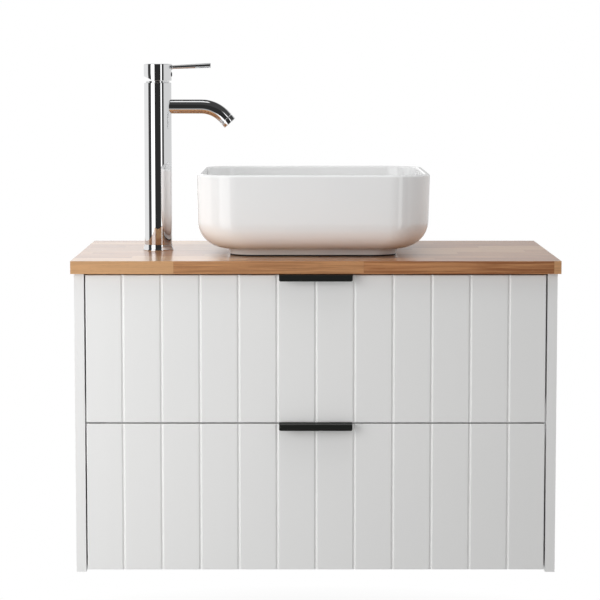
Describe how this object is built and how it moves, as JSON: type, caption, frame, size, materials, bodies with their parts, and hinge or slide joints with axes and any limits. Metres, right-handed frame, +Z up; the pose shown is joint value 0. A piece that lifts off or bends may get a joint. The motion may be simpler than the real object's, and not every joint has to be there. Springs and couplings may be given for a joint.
{
  "type": "vessel sink vanity",
  "caption": "Wall-hung white vanity with grooved drawer fronts, black edge pulls and an oak worktop, holding a square vessel basin with its waste and trap beside a tall lever tap.",
  "frame": {"origin": "centre of the hanging rail's rear face, on the wall plane, halfway across the cabinet", "axes": "+X to the right seen from the front, +Y into the wall so the fronts face -Y, +Z up"},
  "size_m": [0.8, 0.466, 0.8375],
  "materials": {
    "oak": "satin",
    "white_lacquer": "satin",
    "white_board": "matte",
    "steel": "satin",
    "black_metal": "satin",
    "painted_steel": "satin",
    "white_plastic": "satin",
    "ceramic": "gloss",
    "rubber": "matte",
    "chrome": "polished",
    "grey_plastic": "matte",
    "index_plastic": "satin"
  },
  "bodies": {
    "vanity": {"worktop": "oak", "side_panel_left": "white_lacquer", "side_panel_right": "white_lacquer", "bottom_panel": "white_board", "front_stretcher": "white_board", "lower_back_rail": "white_board", "hanging_rail": "white_board", "hanger_left": "steel", "hanger_right": "steel", "upper_left_cabinet_rail": "steel", "upper_right_cabinet_rail": "steel", "lower_left_cabinet_rail": "steel", "lower_right_cabinet_rail": "steel", "fixing_stud": "steel", "clamp_plate": "steel", "stud_nut": "steel", "trap_body": "white_plastic", "trap_cup": "white_plastic", "trap_outlet_pipe": "white_plastic", "basin": "ceramic", "basin_seal": "rubber", "waste_gasket": "rubber", "tap_base_seal": "rubber", "clamp_gasket": "rubber", "waste_flange": "chrome", "waste_backnut": "chrome", "trap_slip_nut": "chrome", "trap_tailpiece": "chrome", "wall_rosette": "chrome", "tap_body": "chrome", "tap_base_ring": "chrome", "tap_spout": "chrome", "aerator_housing": "chrome", "cartridge_nut": "chrome", "aerator_insert": "grey_plastic", "cartridge_body": "grey_plastic"},
    "upper_drawer": {"upper_drawer_front": "white_lacquer", "upper_handle": "black_metal", "upper_drawer_side_left": "painted_steel", "upper_drawer_side_right": "painted_steel", "upper_drawer_bottom": "white_board", "upper_drawer_back_left": "white_board", "upper_drawer_back_right": "white_board", "upper_trap_bay": "white_plastic"},
    "upper_slides": {"upper_left_sliding_rail": "steel", "upper_right_sliding_rail": "steel"},
    "lower_drawer": {"lower_drawer_front": "white_lacquer", "lower_handle": "black_metal", "lower_drawer_side_left": "painted_steel", "lower_drawer_side_right": "painted_steel", "lower_drawer_bottom": "white_board", "lower_drawer_back": "white_board"},
    "lower_slides": {"lower_left_sliding_rail": "steel", "lower_right_sliding_rail": "steel"},
    "plug": {"waste_plug": "chrome"},
    "tap_carrier": {"cartridge_carrier": "grey_plastic"},
    "tap_handle": {"tap_cap": "chrome", "tap_lever": "chrome", "index_button": "index_plastic", "cartridge_stem": "steel"}
  },
  "joints": [
    {"name": "upper_drawer_slide", "type": "slide", "parent": "vanity", "child": "upper_drawer", "axis": [0, -1, 0], "range_m": [0, 0.35]},
    {"name": "upper_rail_slide", "type": "slide", "parent": "vanity", "child": "upper_slides", "axis": [0, -1, 0], "range_m": [0, 0.175]},
    {"name": "lower_drawer_slide", "type": "slide", "parent": "vanity", "child": "lower_drawer", "axis": [0, -1, 0], "range_m": [0, 0.35]},
    {"name": "lower_rail_slide", "type": "slide", "parent": "vanity", "child": "lower_slides", "axis": [0, -1, 0], "range_m": [0, 0.175]},
    {"name": "plug_pop_up", "type": "slide", "parent": "vanity", "child": "plug", "axis": [0, 0, 1], "range_m": [0, 0.01]},
    {"name": "tap_temperature_turn", "type": "hinge", "parent": "vanity", "child": "tap_carrier", "pos_m": [-0.2705, -0.22, 0.3545], "axis": [0, 0, 1], "range_deg": [-45, 45]},
    {"name": "tap_lever_lift", "type": "hinge", "parent": "tap_carrier", "child": "tap_handle", "pos_m": [-0.2705, -0.22, 0.3545], "axis": [0, -1, 0], "range_deg": [0, 20]}
  ],
  "couplings": [
    {"joint": "upper_rail_slide", "follows": "upper_drawer_slide", "ratio": 0.5},
    {"joint": "lower_rail_slide", "follows": "lower_drawer_slide", "ratio": 0.5}
  ]
}
